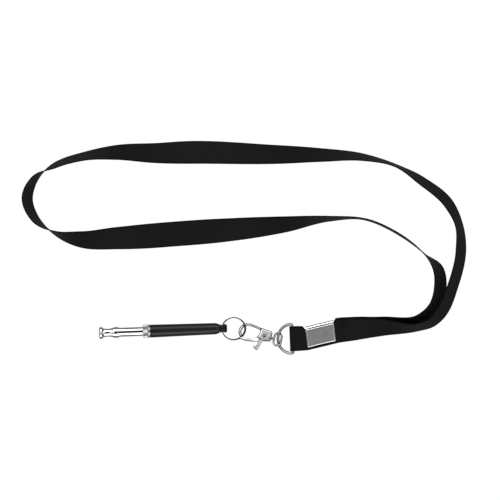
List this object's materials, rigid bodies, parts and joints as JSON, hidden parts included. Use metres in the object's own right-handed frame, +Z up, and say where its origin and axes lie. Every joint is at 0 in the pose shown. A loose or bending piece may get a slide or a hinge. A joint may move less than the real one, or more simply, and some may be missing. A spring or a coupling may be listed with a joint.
{
  "type": "dog training whistle",
  "caption": "Tuneable dog training whistle with a slim polished tube, knurled lock ring and black sleeve, on a split ring, trigger clasp, D-ring and neck ribbon.",
  "frame": {"origin": "bottom centre of the whistle, the clasp chain and the strap end, without the neck ribbon, on the surface that they lie on", "axes": "+X along the whistle, from its lip towards the strap; +Y across it, towards the loop of the neck ribbon; +Z up"},
  "size_m": [0.2756, 0.1359, 0.0157],
  "materials": {
    "polished_nickel": "polished",
    "knurled_nickel": "knurled, satin",
    "black_anodised": "black anodised satin",
    "brass": "machined",
    "steel": "drawn",
    "spring_steel": "bright plated",
    "chrome": "bright",
    "satin_nickel": "satin plated",
    "rubber": "matte",
    "ribbon": "black satin weave"
  },
  "bodies": {
    "barrel": {"barrel_sleeve": "black_anodised", "threaded_bush": "brass", "piston_rod": "steel", "tail_plug": "black_anodised"},
    "piston": {"piston_head": "brass", "piston_seal": "rubber"},
    "whistle_tube": {"resonator_tube": "polished_nickel", "mouthpiece": "polished_nickel", "fipple_plug": "polished_nickel"},
    "lock_nut": {"lock_ring": "knurled_nickel"},
    "key_ring": {"split_ring": "spring_steel"},
    "clasp": {"clasp_hook": "chrome", "gate_pivot_pin": "chrome", "gate_spring": "spring_steel"},
    "gate": {"gate_lever": "chrome"},
    "swivel": {"swivel_eye": "chrome"},
    "strap_ring": {"d_ring": "chrome"},
    "strap": {"ribbon_end_loop": "ribbon", "strap_crimp": "satin_nickel", "neck_ribbon": "ribbon"}
  },
  "joints": [
    {"name": "tuning_turn", "type": "hinge", "parent": "barrel", "child": "piston", "pos_m": [-0.0495, 0.00556, 0.00415], "axis": [-1, 0, 0], "range_deg": [0, 2160]},
    {"name": "tuning_travel", "type": "slide", "parent": "piston", "child": "whistle_tube", "axis": [-1, 0, 0], "range_m": [0, 0.0045]},
    {"name": "lock_ring_turn", "type": "hinge", "parent": "whistle_tube", "child": "lock_nut", "pos_m": [-0.0444, 0.00556, 0.00415], "axis": [1, 0, 0], "range_deg": [0, 180]},
    {"name": "ring_in_tail", "type": "hinge", "parent": "barrel", "child": "key_ring", "pos_m": [0.00325, 0.00556, 0.00415], "axis": [0, 1, 0], "range_deg": [-25, 15]},
    {"name": "clasp_on_ring", "type": "hinge", "parent": "key_ring", "child": "clasp", "pos_m": [0.01541, 0.00354, 0.00313], "axis": [0.2347, 0.9713, -0.0373], "range_deg": [-20, 20]},
    {"name": "gate_open", "type": "hinge", "parent": "clasp", "child": "gate", "pos_m": [0.02919, -0.00051, 0.00326], "axis": [0.0867, 0.3477, 0.9336], "range_deg": [0, 25], "stiffness_Nm_per_rad": 0.004, "springref_deg": -11.46, "deforming": ["gate_spring"]},
    {"name": "swivel_turn", "type": "hinge", "parent": "clasp", "child": "swivel", "pos_m": [0.03743, -0.00257, 0.00345], "axis": [0.9776, -0.2078, 0.0349], "range_deg": [-90, 90]},
    {"name": "d_ring_swing", "type": "hinge", "parent": "swivel", "child": "strap_ring", "pos_m": [0.03743, -0.00257, 0.00345], "axis": [0.2511, 0.928, -0.2753], "range_deg": [-5, 30]},
    {"name": "strap_swing", "type": "hinge", "parent": "strap_ring", "child": "strap", "pos_m": [0.04677, -0.00257, 0.002], "axis": [0, 1, 0], "range_deg": [-60, 60]}
  ],
  "couplings": [
    {"joint": "tuning_turn", "follows": "tuning_travel", "rad_per_m": 8377.6}
  ]
}
